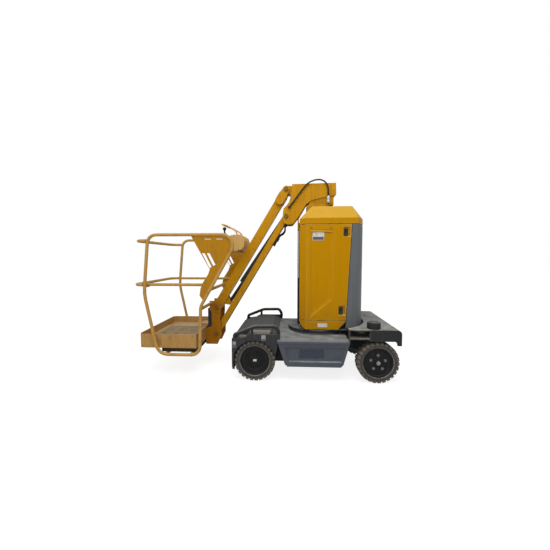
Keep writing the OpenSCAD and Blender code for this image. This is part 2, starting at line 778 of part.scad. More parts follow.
// Basket head with the lower jib pins; the lowest ones are stubs, so the cylinder can pass between
module head_bracket() color(tan_yellow) {
    both_sides() slab(plate_in, plate_out) polygon([
        [floor_rear, 252], [-1106, 252], head_low_pin + [40, -66], head_low_pin + [60, -30],
        head_low_pin + [60, 60], head_low_pin + [46, 150], head_pin + [54, -60], head_pin + [52, 36],
        head_pin + [22, 62], [-1150, 738], [-1192, 738], [-1192, 646], [-1170, 612], [-1170, 452],
        [floor_rear, 424]
    ]);
    slab(-plate_in - 1, plate_in + 1) translate([floor_rear, 252]) square([12, 172]);
    bar_y(head_pin, jib_pin_d / 2, -plate_out - 8, plate_out + 8);
    both_sides() bar_y(head_low_pin, jib_pin_d / 2, link_in - 3, plate_out + 8);
}

module floor_plan(m) {
    corner = 46;
    difference() {
        translate([floor_front + m, -floor_half + m])
            square([floor_rear - floor_front - 2 * m, 2 * floor_half - 2 * m]);
        for (s = [-1, 1]) difference() {
            translate([floor_front - 5, s > 0 ? floor_half - corner : -floor_half - 5])
                square([corner + 5, corner + 5]);
            translate([floor_front + corner, s * (floor_half - corner)]) circle(r = corner - m);
        }
    }
}

// Floor pan on its bearer frame, with the step in its far rear corner
module basket_floor() color(tan_yellow) {
    difference() {
        translate([0, 0, floor_z]) linear_extrude(toe_z - floor_z) floor_plan(0);
        translate([0, 0, floor_top]) linear_extrude(toe_z) floor_plan(6);
        translate([0, 0, floor_z - 1]) linear_extrude(floor_top - floor_z - 11) floor_plan(6);
    }
    translate([0, 0, bearer_z]) linear_extrude(floor_top - bearer_z - 5) difference() {
        translate([-1600, -bearer_y]) square([bearer_len, 2 * bearer_y]);
        translate([-1580, -bearer_y + 20]) square([bearer_len - 40, 2 * bearer_y - 40]);
    }
    translate([-1420, floor_half - 190, floor_top - 1]) cube([150, 176, 31]);
}

// Side frames with their corner gussets; the near one carries the gate pin and its rest
module loop_shape() {
    side_tube(loop_pts, loop_rad, tube_r, -loop_y, true);
    slab(-loop_y - 4, -loop_y + 4) difference() {
        polygon([
            [-1270, loop_top], [-1082, 1105], [-1098, 1058], [-1152, 975], [-1177, 915], [-1188, 845],
            [slant_x(790), 790], [slant_x(1330), 1330], [-900, loop_top]
        ]);
        polygon([[-1158, 1262], [-1130, 1262], [-1062, 1128], [-1085, 1118]]);
        polygon([[-1110, 1262], [-1082, 1262], [-1024, 1150], [-1048, 1138]]);
        for (x = [-1130, -1015]) translate([x, loop_top - 50]) square([62, 9]);
    }
}

module basket_loops() color(tan_yellow) {
    both_sides() loop_shape();
    translate([post_x(mid_rail_z), loop_y, mid_rail_z]) rotate([0, 90, 0])
        cylinder(r = tube_r - 1, h = slant_x(mid_rail_z) - post_x(mid_rail_z));
    bar_y([gate_x, mid_rail_z], gate_pin_d / 2, -loop_y + 2, gate_y + 20);
    translate([post_x(mid_rail_z) - 12, -loop_y, mid_rail_z - gate_r - 9 - seat])
        cube([34, loop_y + gate_y + 16, 9]);
}

// Bowed rails round the front of the basket
module front_rails() color(tan_yellow) {
    for (z = [mid_rail_z, top_rail_z]) {
        end = post_x(z - tube_r) - tube_r - 0.6;
        front = z == mid_rail_z ? -rail_front : -rail_front + 26;
        translate([0, 0, z]) tube_path(
            [[end, -loop_y], [front, -loop_y], [front, loop_y], [end, loop_y]],
            [0, 95, 95, 0], tube_r
        );
    }
}

// Tubes across the basket between the side frames and under its floor
module cross_tubes() color(tan_yellow) {
    reach = loop_y - tube_r - seat;
    for (p = [[-1290, loop_low], [-1550, loop_low], [slant_x(905), 905], [slant_x(console_z), console_z]])
        bar_y(p, tube_r, -reach, reach);
    both_sides() bar_y([-1172, 714], tube_r, plate_out + seat, reach);
}

// Operator's console with its shelf and guard hoop
module control_box() color(tan_yellow) {
    low = console_z + tube_r + seat;
    slab(-190, 190) polygon([
        [-915, low], [-818, low], [-790, 1340], [-780, 1400], [-790, 1436], [-824, 1464], [-860, 1466],
        [-902, shelf_z], [-1058, shelf_z], [-1062, 1434], [-915, 1408]
    ]);
    for (y = [-150 : 50 : 150]) slab(y - 5, y + 5) polygon([
        [-919, low + 10], [-900, low + 10], [-900, 1400], [-919, 1400]
    ]);
    both_sides() side_tube([[-855, 1446], [-880, 1505], [-975, 1562], [-1026, 1574]], [0, 40, 60, 0], 8, 165);
    bar_y([-1026, 1574], 8, -165, 165);
    both_sides() translate([-1026, 165, 1574]) sphere(r = 8);
}

module joystick() color(black) {
    translate([-1022, -70, shelf_z + seat]) {
        cylinder(r1 = 34, r2 = 16, h = 34);
        cylinder(r = 9, h = 66);
        translate([0, 0, 80]) sphere(r = 20);
    }
}

// Drop bar across the near side entry
module gate_bar() color(tan_yellow) {
    difference() {
        union() {
            translate([post_x(mid_rail_z) - 14, gate_y, mid_rail_z]) rotate([0, 90, 0])
                cylinder(r = gate_r, h = gate_x - post_x(mid_rail_z) + 14);
            bar_y([gate_x, mid_rail_z], 22, gate_y - gate_r, gate_y + gate_r);
        }
        bar_y([gate_x, mid_rail_z], gate_pin_d / 2 + run_fit, gate_y - 40, gate_y + 40);
    }
}

translate([slew_x, 0, 0]) {
    chassis_frame();
    front_cover();
    guard_hoops();
    side_boxes();
    rear_tray();
    steer_axle();
    slew_ring();
    drive_tyre_near();
    drive_rim_near();
    drive_tyre_far();
    drive_rim_far();
    steer_tyre_near();
    steer_rim_near();
    steer_tyre_far();
    steer_rim_far();
    knuckle_near();
    knuckle_far();
    turntable();
    mast_base();
    tower_skirt();
    tower_cap();
    rear_cover();
    counterweight();
    door_near();
    door_far();
    mast_1();
    mast_2();
    mast_3();
    mast_4();
    gooseneck();
    head_hose();
    upper_beam();
    lower_links();
    jib_hose();
    lift_barrel();
    lift_rod();
    translate([basket_at[0], 0, basket_at[1]]) {
        head_bracket();
        basket_floor();
        basket_loops();
        front_rails();
        cross_tubes();
        control_box();
        joystick();
        gate_bar();
    }
}
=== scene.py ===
# %% [markdown]
# # Dressing a mast boom lift
# The machine was drawn as solids first: a narrow chassis on four wheels, a slewing tower with a telescopic
# mast, and a jib that carries a caged basket. Here those solids get their finishes, and the small things
# that a drawing leaves out are modelled on top of them. Lengths are in metres, and the floor is at zero.

# %% Load the solids
import json
import math

import bpy
from mathutils import Matrix, Vector


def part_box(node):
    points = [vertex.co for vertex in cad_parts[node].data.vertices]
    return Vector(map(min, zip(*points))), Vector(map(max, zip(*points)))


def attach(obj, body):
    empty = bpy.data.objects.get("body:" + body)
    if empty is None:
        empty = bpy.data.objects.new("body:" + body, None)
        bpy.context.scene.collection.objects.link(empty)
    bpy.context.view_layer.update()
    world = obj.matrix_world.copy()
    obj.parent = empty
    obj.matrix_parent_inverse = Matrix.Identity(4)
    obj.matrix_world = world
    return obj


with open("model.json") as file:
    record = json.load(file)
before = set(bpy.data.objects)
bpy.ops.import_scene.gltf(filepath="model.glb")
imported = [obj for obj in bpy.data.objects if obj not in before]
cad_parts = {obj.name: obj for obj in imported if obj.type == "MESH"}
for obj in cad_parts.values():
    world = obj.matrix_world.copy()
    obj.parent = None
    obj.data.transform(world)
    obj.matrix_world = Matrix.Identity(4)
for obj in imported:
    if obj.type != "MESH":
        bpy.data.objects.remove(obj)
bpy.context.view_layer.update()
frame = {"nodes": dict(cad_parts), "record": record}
nodes = frame["nodes"]
subparts = frame["record"]["subparts"]
ring_low, ring_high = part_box("slew_ring")
tower_x = (ring_low[0] + ring_high[0]) / 2

# %% [markdown]
# ## Sums on shader sockets
# A worn finish is a sum of masks: dust here, chips there, a little stain between. In the shader editor each
# sum is a Math node and a few wires, which soon gets hard to read. So a socket is wrapped in a small class
# that knows plus, minus, times and power, and a finish can be written the way it is thought of.

# %% A socket that can be used in sums
class Wire:
    """One output of a node. Sums on it add Math nodes to the same tree."""

    def __init__(self, owner, socket):
        self.owner = owner
        self.socket = socket

    def maths(self, operation, left, right):
        return self.owner.add("ShaderNodeMath", {"operation": operation}, {0: left, 1: right})

    def __add__(self, other):
        return self.maths("ADD", self, other)

    def __radd__(self, other):
        return self.maths("ADD", other, self)

    def __sub__(self, other):
        return self.maths("SUBTRACT", self, other)

    def __rsub__(self, other):
        return self.maths("SUBTRACT", other, self)

    def __mul__(self, other):
        return self.maths("MULTIPLY", self, other)

    def __rmul__(self, other):
        return self.maths("MULTIPLY", other, self)

    def __pow__(self, other):
        return self.maths("POWER", self, other)

    def __abs__(self):
        return self.maths("ABSOLUTE", self, 0.0)

    def __lt__(self, other):
        return self.maths("LESS_THAN", self, other)

    def __gt__(self, other):
        return self.maths("GREATER_THAN", self, other)


print("sums on sockets ready")

# %% [markdown]
# ## One way to add a node
# Every node comes from one method. It takes the kind of node, the settings that have to be made first, such
# as an operation or the stops of a ramp, and then what each socket gets: a number, a colour or a wire. A
# finish is such a tree in a material, and the white surround at the end of this file is one in the world.

# %% A node tree and a finish
class Shading:
    """A node tree whose nodes are added by add(), with the shader that they lead to."""

    def __init__(self, tree, shader):
        self.tree = tree
        self.shader = tree.nodes[shader]

    def add(self, kind, settings=None, sockets=None, out=0):
        node = self.tree.nodes.new(kind)
        for key, value in (settings or {}).items():
            if key == "stops":
                for stop, (where, shade) in zip(self.stops(node, len(value)), value):
                    stop.position = where
                    stop.color = (shade, shade, shade, 1)
            else:
                setattr(node, key, value)
        for key, value in (sockets or {}).items():
            self.fill(node.inputs[key], value)
        return Wire(self, node.outputs[out])

    def stops(self, node, count):
        while len(node.color_ramp.elements) < count:
            node.color_ramp.elements.new(0.5)
        return node.color_ramp.elements

    def fill(self, socket, value):
        if isinstance(value, Wire):
            self.tree.links.new(value.socket, socket)
        else:
            socket.default_value = value

    def feed(self, socket, value):
        self.fill(self.shader.inputs[socket], value)


class Finish(Shading):
    """A material that reads Object coordinates."""

    def __init__(self, name):
        self.material = bpy.data.materials.new(name)
        self.material.use_nodes = True
        super().__init__(self.material.node_tree, "Principled BSDF")
        self.place = self.add("ShaderNodeTexCoord", out="Object")


print("finishes can be made")

# %% [markdown]
# ## Masks for wear
# Paint wears where hands, boots and straps touch it, and dust lies where it can. A noise gives uneven
# stains, the same noise stretched along Z gives runs, a bevel compared with the true normal finds the
# edges, and the height of a face's normal finds the places where dust settles. All of them are numbers from
# 0 to 1, so they can be multiplied with each other.

# %% Shared masks
BEVEL_SAMPLES = 6


def rgb(code):
    """A colour written as six hex digits, as the shader wants it."""
    parts = [int(code[i:i + 2], 16) / 255 for i in (0, 2, 4)]
    return tuple(p / 12.92 if p < 0.04045 else ((p + 0.055) / 1.055) ** 2.4 for p in parts) + (1.0,)


def smooth(finish, value, low, high):
    """0 up to the low value, 1 from the high one on, and a smooth step between them."""
    return finish.add("ShaderNodeMapRange", {"interpolation_type": "SMOOTHSTEP"},
                      {"Value": value, "From Min": low, "From Max": high})


def stain(finish, size, low, high, stretch=(1, 1, 1), detail=5, seed=0.0):
    """Uneven patches about this size in metres. Noise below low is 0, and above high it is 1."""
    place = finish.add("ShaderNodeMapping", None, {
        "Vector": finish.place, "Scale": stretch, "Location": (seed, seed * 0.7, seed * 1.3)})
    cloud = finish.add("ShaderNodeTexNoise", None, {
        "Vector": place, "Scale": 1 / size, "Detail": detail, "Roughness": 0.6})
    return finish.add("ShaderNodeValToRGB", {"stops": [(low, 0.0), (high, 1.0)]}, {"Fac": cloud})


def edges(finish, radius, gain):
    """1 along sharp edges and 0 on flat faces."""
    soft = finish.add("ShaderNodeBevel", {"samples": BEVEL_SAMPLES}, {"Radius": radius})
    true = finish.add("ShaderNodeNewGeometry", out="Normal")
    same = finish.add("ShaderNodeVectorMath", {"operation": "DOT_PRODUCT"}, {0: soft, 1: true}, out="Value")
    return finish.add("ShaderNodeClamp", None, {"Value": (1 - same) * gain})


def upward(finish, low=0.3, high=0.95):
    """1 on faces that look up, at rest."""
    facing = finish.add("ShaderNodeTexCoord", out="Normal")
    height = finish.add("ShaderNodeSeparateXYZ", None, {"Vector": facing}, out="Z")
    return smooth(finish, height, low, high)


def along(finish, axis):
    """How far a point lies along X, Y or Z."""
    return finish.add("ShaderNodeSeparateXYZ", None, {"Vector": finish.place}, out=axis)


def blend(finish, mask, under, over):
    """One colour laid over another through a mask."""
    return finish.add("ShaderNodeMix", {"data_type": "RGBA"}, {0: mask, 6: under, 7: over}, out=2)


def relief(finish, height, strength, depth, edge):
    """Edges rounded by a bevel, with a fine surface laid on top."""
    soft = finish.add("ShaderNodeBevel", {"samples": BEVEL_SAMPLES}, {"Radius": edge})
    finish.feed("Normal", finish.add("ShaderNodeBump", None, {
        "Height": height, "Strength": strength, "Distance": depth, "Normal": soft}))


def fine(finish, size):
    """The smallest unevenness, for relief."""
    return stain(finish, size, 0.2, 0.8, detail=2)


print("masks ready")

# %% [markdown]
# ## Yellow covers
# The tower's doors, skirt and cap are moulded plastic, dyed yellow right through. Sun fades it in clouds,
# work rubs it pale along its edges, and dirty water leaves faint runs. The pale edges are drawn wide, so
# that they are also a painted highlight along the edges, and faces that look up are painted paler as a
# painted highlight. A clear coat would look like a new car, so the gloss stays low and broad and is broken
# up by the same stains.

# %% Yellow covers
GRIME_TOP, GRIME_BOTTOM = 0.95, 0.45


def yellow_moulding(name, main, faded, rubbed_and_edge_glint):
    f = Finish(name)
    clouds = stain(f, 0.45, 0.3, 0.75)
    runs = stain(f, 0.05, 0.52, 0.8, stretch=(1.4, 1.4, 0.09), seed=3.1)
    scratches = stain(f, 0.011, 0.68, 0.74, stretch=(1.0, 1.0, 0.35), seed=7.7)
    scuffs = scratches * stain(f, 0.3, 0.52, 0.66, seed=5.2)
    # Edges rubbed pale by work, drawn wide so that they are also a painted highlight along the edges.
    worn = edges(f, 0.010, 5.0) * stain(f, 0.05, 0.32, 0.58, seed=1.9)
    dust = upward(f) * stain(f, 0.12, 0.3, 0.8, seed=2.4)
    grime = smooth(f, along(f, "Z"), GRIME_TOP, GRIME_BOTTOM) * stain(f, 0.14, 0.42, 0.72, seed=8.3)
    colour = blend(f, clouds * 0.45, rgb(main), rgb(faded))
    # Faces that look up are painted towards pale yellow: a painted highlight on the tops.
    colour = blend(f, upward(f, 0.2, 0.8) * 0.5, colour, rgb("DDBA48"))
    colour = blend(f, runs * 0.22, colour, rgb("8A6210"))
    colour = blend(f, grime * 0.35, colour, rgb("6E5A33"))
    colour = blend(f, scuffs * 0.35, colour, rgb("E6D29A"))
    colour = blend(f, worn * 0.7, colour, rgb(rubbed_and_edge_glint))
    f.feed("Base Color", blend(f, dust * 0.25, colour, rgb("CDB276")))
    f.feed("Roughness", 0.36 + clouds * 0.12 + dust * 0.2 + scuffs * 0.2)
    f.feed("Specular IOR Level", 0.06)
    relief(f, fine(f, 0.004), 0.08, 0.0006, 0.004)
    return f.material


yellow_cover = yellow_moulding("yellow_cover", "C28800", "CC9400", "EAD592")
print("finish", yellow_cover.name)

# %% [markdown]
# ## Painted steel
# Jib, basket, chassis and brackets are painted steel. All of them chip at the edges and carry dust, but
# each has its own colour and its own dirt. One recipe with a few choices is easier to keep alike than many,
# so the colours, how much dust lies and how unevenly, and a patch of another colour are left open.

# %% The recipe for painted steel
def worn_paint(name, main, faded, dirt, chip, settled="B8A484", dusty=0.4, chips=0.6, rough=0.45,
               streaks=0.25, grit=0.1, patch=None, lies=(0.2, 0.7)):
    f = Finish(name)
    clouds = stain(f, 0.30, 0.3, 0.75)
    runs = stain(f, 0.035, 0.5, 0.78, stretch=(1.5, 1.5, 0.12), seed=4.4)
    blots = stain(f, 0.07, 0.55, 0.72, seed=9.1)
    speck = stain(f, 0.006, 0.66, 0.72, seed=6.6)
    worn = edges(f, 0.005, 5.0) * stain(f, 0.03, 0.42, 0.6, seed=1.3)
    dust = upward(f) * stain(f, 0.10, *lies, seed=2.2)
    colour = blend(f, clouds * 0.5, rgb(main), rgb(faded))
    if patch:
        where, shade = patch
        colour = blend(f, where(f), colour, rgb(shade))
    colour = blend(f, runs * streaks, colour, rgb(dirt))
    colour = blend(f, blots * (streaks * 1.2), colour, rgb(dirt))
    colour = blend(f, speck * 0.35, colour, rgb(dirt))
    colour = blend(f, worn * chips, colour, rgb(chip))
    f.feed("Base Color", blend(f, dust * dusty, colour, rgb(settled)))
    f.feed("Roughness", rough + clouds * 0.12 + dust * (dusty * 0.5))
    f.feed("Specular IOR Level", 0.14)
    relief(f, fine(f, 0.003) + speck * 0.6, grit, 0.0006, 0.0035)
    return f.material


print("recipe for painted steel ready")

# %% [markdown]
# ## Patches of another colour
# Some solids are painted in two colours or rubbed bare in one place, and one is painted dark where shade
# falls under it. Splitting the solid would change the drawing, so a mask says where the other colour lies,

# %% Patches of another colour
GUSSET_Y, GUSSET_HALF, GUSSET_FRONT, GUSSET_LOW = 0.46, 0.0055, tower_x - 1.275, 0.786
DECK_SIDE, DECK_LOW, DECK_TOP = 0.4885, 0.4055, 0.4255
RIM_SIDE, RIM_REAR, RIM_TOP = 0.464, tower_x + 0.47, 0.5275
PAN_LOW = 0.3065


def side_gusset(f):
    """1 on the flat gussets of the basket's side frames."""
    flat = abs(abs(along(f, "Y")) - GUSSET_Y) < GUSSET_HALF
    return flat * (along(f, "X") > GUSSET_FRONT) * (along(f, "Z") > GUSSET_LOW)


def deck_edge(f):
    """1 on the upright edge of the deck, which boots and ramps rub bare."""
    return (abs(along(f, "Y")) > DECK_SIDE) * (along(f, "Z") > DECK_LOW) * (along(f, "Z") < DECK_TOP)


def tray_rim(f):
    """Bare patches along the sides of the tray, most of all on its top, ahead of the filler cap."""
    rim = (abs(along(f, "Y")) > RIM_SIDE) * (along(f, "X") < RIM_REAR) * stain(f, 0.08, 0.4, 0.6, seed=6.1)
    return rim * (0.22 + 0.6 * (along(f, "Z") > RIM_TOP))


def under_floor_shade(f):
    """1 on the frame below the basket floor, which is painted dark as shade."""
    return along(f, "Z") < PAN_LOW


print("patches", [patch.__name__ for patch in (side_gusset, deck_edge, tray_rim, under_floor_shade)])

# %% [markdown]
# ## Paints of the machine
# Yellow paint is on the jib and its brackets, tan on the basket, where sun and hands have bleached it, and
# nearly black paint is on the chassis. Dust decides how the dark ones look from above, so it is set for
# each.

# %% Paints of the machine
tan_wear = dict(dirt="7D6138", chip="E0C796", dusty=0.7, rough=0.6, streaks=0.4, grit=0.2)
dark_wear = dict(dirt="4C4842", chip="98948B", chips=0.7, rough=0.55, grit=0.2, lies=(0.05, 0.95))

yellow_paint = worn_paint("yellow_paint", "C28802", "CC9410", "6A4A14", "DDB968",
                          dusty=0.3, rough=0.42, streaks=0.3)
# The basket's head gets a darker orange: its own orange paint, darkened further as painted shade.
head_paint_and_shade = worn_paint("head_paint_and_shade", "A66A06", "B0760E", "52360E", "DDB968",
                        dusty=0.3, rough=0.45, streaks=0.4)
tan_paint = worn_paint("tan_paint", "BE9148", "C9A364", settled="C2AC88", **tan_wear)
# The side frames carry paler dust on their tops: dust, and a painted highlight along the tube tops.
loop_paint = worn_paint("loop_paint", "BE9148", "C9A364", settled="CFBE9F", **tan_wear,
                        patch=(side_gusset, "B67E0E"))
# Below the pan, the frame is painted near black: a painted shade under the floor.
pan_paint = worn_paint("pan_paint", "B68B4B", "C2A06C", "755C38", "DCC49A", settled="CAB897", dusty=0.85,
                       rough=0.65, streaks=0.5, grit=0.2, patch=(under_floor_shade, "3A3228"))
dark_steel = worn_paint("dark_steel", "2A2B2D", "38393B", settled="A9ABAA", dusty=0.85, **dark_wear)
deck_paint = worn_paint("deck_paint", "2A2B2D", "38393B", settled="B4B5B3", dusty=1.0, **dark_wear,
                        patch=(deck_edge, "8E9092"))
tray_paint = worn_paint("tray_paint", "2A2B2C", "36373A", settled="C6C4BF", dusty=1.0, **dark_wear,
                        patch=(tray_rim, "B4A894"))
grey_box = worn_paint("grey_box", "50555D", "5C626B", "3E3C39", "8F9298", settled="A6A7A9",
                      dusty=0.9, chips=0.4, rough=0.5)
rim_black = worn_paint("rim_black", "141515", "1D1E1F", "3C3833", "4C4A46", settled="77736C",
                       dusty=0.2, chips=0.25, rough=0.5)
print("finishes", [m.name for m in (yellow_paint, tan_paint, dark_steel, grey_box, rim_black)])

# %% [markdown]
# ## Grained plastic
# The rear cover, the front hood and the console are grained plastic. Grain is a small regular bump, and the
# colour is nearly even, with chalky fading and dust in the hollows. A noise would look like cast iron, so
# the grain comes from the cells of a Voronoi texture.

# %% Grained plastic
def grained(name, main, chalk, settled="A09C95", dusty=0.4, rough=0.55):
    f = Finish(name)
    clouds = stain(f, 0.35, 0.3, 0.7)
    runs = stain(f, 0.04, 0.52, 0.8, stretch=(1.4, 1.4, 0.1), seed=5.5)
    dust = upward(f, 0.1, 0.9) * stain(f, 0.09, 0.2, 0.75, seed=2.8)
    worn = edges(f, 0.005, 4.0) * stain(f, 0.05, 0.4, 0.65, seed=3.7)
    grain = f.add("ShaderNodeTexVoronoi", None, {"Vector": f.place, "Scale": 420.0}, out="Distance")
    colour = blend(f, clouds * 0.55, rgb(main), rgb(chalk))
    colour = blend(f, runs * 0.2, colour, rgb("8A857C"))
    colour = blend(f, worn * 0.35, colour, rgb("A9A6A0"))
    f.feed("Base Color", blend(f, dust * dusty, colour, rgb(settled)))
    f.feed("Roughness", rough + clouds * 0.1 + dust * 0.2)
    f.feed("Specular IOR Level", 0.2)
    relief(f, grain, 0.18, 0.0008, 0.004)
    return f.material


grey_cover = grained("grey_cover", "626668", "6C7073", dusty=0.35)
dark_cover = grained("dark_cover", "2D2E30", "393A3C", settled="716E67", dusty=0.4)
console_cover = grained("console_cover", "CDA456", "D8B574", settled="D8BE8C", dusty=0.4)
print("finishes", [m.name for m in (grey_cover, dark_cover, console_cover)])

# %% [markdown]
# ## Steel and rubber
# The sliding mast, the rod and the nuts are bare or plated steel. It is ground along its length, so its
# roughness runs in fine lines. Hoses and latches are rubber and soft plastic, nearly black but never even.

# %% Bare steel and rubber
def ground_steel(name, main, rust, rough):
    f = Finish(name)
    lines = stain(f, 0.004, 0.3, 0.7, stretch=(1, 1, 0.03), detail=2)
    blots = stain(f, 0.06, 0.52, 0.75, seed=4.9)
    colour = blend(f, lines * 0.25, rgb(main), rgb("C9CACB"))
    f.feed("Base Color", blend(f, blots * 0.35, colour, rgb(rust)))
    f.feed("Metallic", 0.85 - blots * 0.4)
    f.feed("Roughness", rough + lines * 0.15 + blots * 0.25)
    relief(f, lines, 0.05, 0.0004, 0.002)
    return f.material


def rubber(name, main, bloom, rough=0.6):
    f = Finish(name)
    clouds = stain(f, 0.05, 0.3, 0.75)
    dust = upward(f, 0.0, 0.9) * stain(f, 0.05, 0.3, 0.7, seed=3.3)
    colour = blend(f, clouds * 0.4, rgb(main), rgb(bloom))
    f.feed("Base Color", blend(f, dust * 0.5, colour, rgb("8C8272")))
    f.feed("Roughness", rough + clouds * 0.15)
    f.feed("Specular IOR Level", 0.25)
    relief(f, fine(f, 0.003), 0.12, 0.0005, 0.002)
    return f.material


bare_steel = ground_steel("bare_steel", "808386", "7A6650", rough=0.42)
zinc = ground_steel("zinc", "B9BBBB", "9B8C70", rough=0.3)
dull_zinc = ground_steel("dull_zinc", "5A5C5E", "554C40", rough=0.55)
hub_zinc = ground_steel("hub_zinc", "8A8780", "7A6C56", rough=0.5)
hose_rubber = rubber("hose_rubber", "161616", "2A2A2A")
black_plastic = rubber("black_plastic", "1E1F20", "34353A", rough=0.45)
print("finishes", [m.name for m in (bare_steel, zinc, hose_rubber, black_plastic)])

# %% [markdown]
# ## Tyres
# The tyres are solid grey rubber: dusty on the trodden shoulder, darker on the sidewall, and rubbed pale at
# the bead. Those are rings, so the distance from the axle decides which one a point belongs to. Near and
# far wheel share an axle, and so they share a finish.

# %% Tyres
BEAD_END, SHOULDER_START, SHOULDER_END = 0.1535, 0.166, 0.192


def tyre_rubber(name, wheel):
    f = Finish(name)
    low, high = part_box(wheel)
    across = abs(along(f, "X") - (low[0] + high[0]) / 2)
    up = abs(along(f, "Z") - (low[2] + high[2]) / 2)
    out = (across * across + up * up) ** 0.5
    shoulder = smooth(f, out, SHOULDER_START, SHOULDER_END)
    bead = (out < BEAD_END) * stain(f, 0.05, 0.3, 0.6, seed=1.1)
    clouds = stain(f, 0.05, 0.3, 0.75)
    scuffs = stain(f, 0.012, 0.5, 0.7, seed=4.2) * shoulder
    colour = blend(f, clouds * 0.4, rgb("4A4743"), rgb("5E5A54"))
    colour = blend(f, shoulder * 0.6, colour, rgb("7C766D"))
    colour = blend(f, scuffs * 0.4, colour, rgb("968C7E"))
    f.feed("Base Color", blend(f, bead * 0.75, colour, rgb("928E87")))
    f.feed("Roughness", 0.72 + clouds * 0.15)
    f.feed("Specular IOR Level", 0.15)
    relief(f, fine(f, 0.003), 0.12, 0.0005, 0.002)
    return f.material


drive_tyre = tyre_rubber("drive_tyre", "drive_tyre_near")
steer_tyre = tyre_rubber("steer_tyre", "steer_tyre_near")
print("finishes", [m.name for m in (drive_tyre, steer_tyre)])

# %% [markdown]
# ## Finishes on the solids
# Each solid already names the slot that its finish belongs to, so the record decides which solid is
# painted, moulded or left bare. Three parts of the basket differ from its other tubes, so they get a paint
# of their own: the head behind it, in a darker orange that is partly painted shade, the side frames with
# their gussets, and the floor pan, whose frame below the floor is painted dark as shade. So do the deck,
# with its rubbed edge, and the tyres.

# %% Finishes on the solids
by_slot = dict(
    yellow_cover=yellow_cover, yellow_paint=yellow_paint, tan_paint=tan_paint, dark_steel=dark_steel,
    tray_paint=tray_paint, grey_box=grey_box, rim_black=rim_black, grey_cover=grey_cover,
    dark_cover=dark_cover, console_cover=console_cover, bare_steel=bare_steel, hose_rubber=hose_rubber)
own = dict(
    head_bracket=head_paint_and_shade, basket_loops=loop_paint, basket_floor=pan_paint, chassis_frame=deck_paint,
    drive_tyre_near=drive_tyre, drive_tyre_far=drive_tyre,
    steer_tyre_near=steer_tyre, steer_tyre_far=steer_tyre)
for part in subparts:
    solid = nodes[part["node"]]
    solid.data.materials.clear()
    solid.data.materials.append(own.get(part["node"]) or by_slot[part["material_slot"]])
print("painted", len(subparts), "solids,", len(own), "of them with a finish of their own")

# %% [markdown]
# ## Starting a piece and picking its faces
# Nuts, plates and latches all start as a cylinder or a cube and get their shape in edit mode. An operator
# acts on whatever is selected, so everything is deselected before a piece is added, and its faces and edges
# are then picked in code, by where they are and where they look.

# %% Starting a piece and picking its faces
STRAIGHT = 0.9


def only(*chosen):
    """Selects these objects and nothing else."""
    bpy.ops.object.select_all(action="DESELECT")
    for item in chosen:
        item.select_set(True)
    bpy.context.view_layer.objects.active = chosen[0]


def begin(name, add, **shape):
    """Starts a piece from a primitive."""
    bpy.ops.object.select_all(action="DESELECT")
    add(**shape)
    piece = bpy.context.object
    piece.name = name
    return piece


def disc(name, corners, radius, depth):
    """A cylinder that stands on Z."""
    return begin(name, bpy.ops.mesh.primitive_cylinder_add, vertices=corners, radius=radius, depth=depth)


def block(name, *size):
    """A cube brought to its size in edit mode, which stays on."""
    piece = begin(name, bpy.ops.mesh.primitive_cube_add, size=1)
    bpy.ops.object.mode_set(mode="EDIT")
    bpy.ops.mesh.select_all(action="SELECT")
    bpy.ops.transform.resize(value=size)
    return piece


def faces(piece, test):
    """Edit mode, with the faces selected whose middle and normal pass the test."""
    bpy.ops.object.mode_set(mode="OBJECT")
    bpy.context.tool_settings.mesh_select_mode = (False, False, True)
    for item in list(piece.data.vertices) + list(piece.data.edges):
        item.select = False
    for face in piece.data.polygons:
        face.select = test(face.center, face.normal)
    bpy.ops.object.mode_set(mode="EDIT")


def top(piece):
    """Edit mode, with the faces selected that look up."""
    faces(piece, lambda middle, normal: normal.z > STRAIGHT)


def sides(piece, test):
    """Edit mode, with the edges selected whose middle and direction pass the test."""
    bpy.ops.object.mode_set(mode="OBJECT")
    bpy.context.tool_settings.mesh_select_mode = (False, True, False)
    spots = [v.co.copy() for v in piece.data.vertices]
    for item in list(piece.data.vertices) + list(piece.data.polygons):
        item.select = False
    for edge in piece.data.edges:
        a, b = (spots[i] for i in edge.vertices)
        edge.select = test((a + b) / 2, (b - a).normalized())
    bpy.ops.object.mode_set(mode="EDIT")


print("pieces can be started")

# %% [markdown]
# ## Shaping a piece
# Two moves make most of the small shapes: pushing the picked faces along Z, wider or narrower than before,
# and rounding all sharp edges at the end with a bevel that is applied for good.

# %% Shaping a piece
SMOOTH_ANGLE = math.radians(35)


def push(distance, grow=1.0):
    """Extrudes the selected faces along Z and widens them."""
    bpy.ops.mesh.extrude_region_move(TRANSFORM_OT_translate={"value": (0, 0, distance)})
    if grow != 1.0:
        bpy.ops.transform.resize(value=(grow, grow, 1))


def inset(thickness):
    """Draws a rim of this width inside the selected faces."""
    bpy.ops.mesh.inset(thickness=thickness)


def soften(piece, width, steps=2):
    """Leaves edit mode and rounds the sharp edges for good."""
    bpy.ops.object.mode_set(mode="OBJECT")
    only(piece)
    bpy.ops.object.modifier_add(type="BEVEL")
    rounding = piece.modifiers[-1]
    rounding.width = width
    rounding.segments = steps
    rounding.limit_method = "ANGLE"
    rounding.angle_limit = SMOOTH_ANGLE
    bpy.ops.object.modifier_apply(modifier=rounding.name)


print("pieces can be shaped")

# %% [markdown]
# ## Setting pieces out
# What repeats is modelled once, lying flat with its top up. Copies of it are turned to the side they belong
# to, set in place, joined and handed to the body that carries them. Places are written in millimetres from
# the tower's axis, as they are in the drawing of the machine.

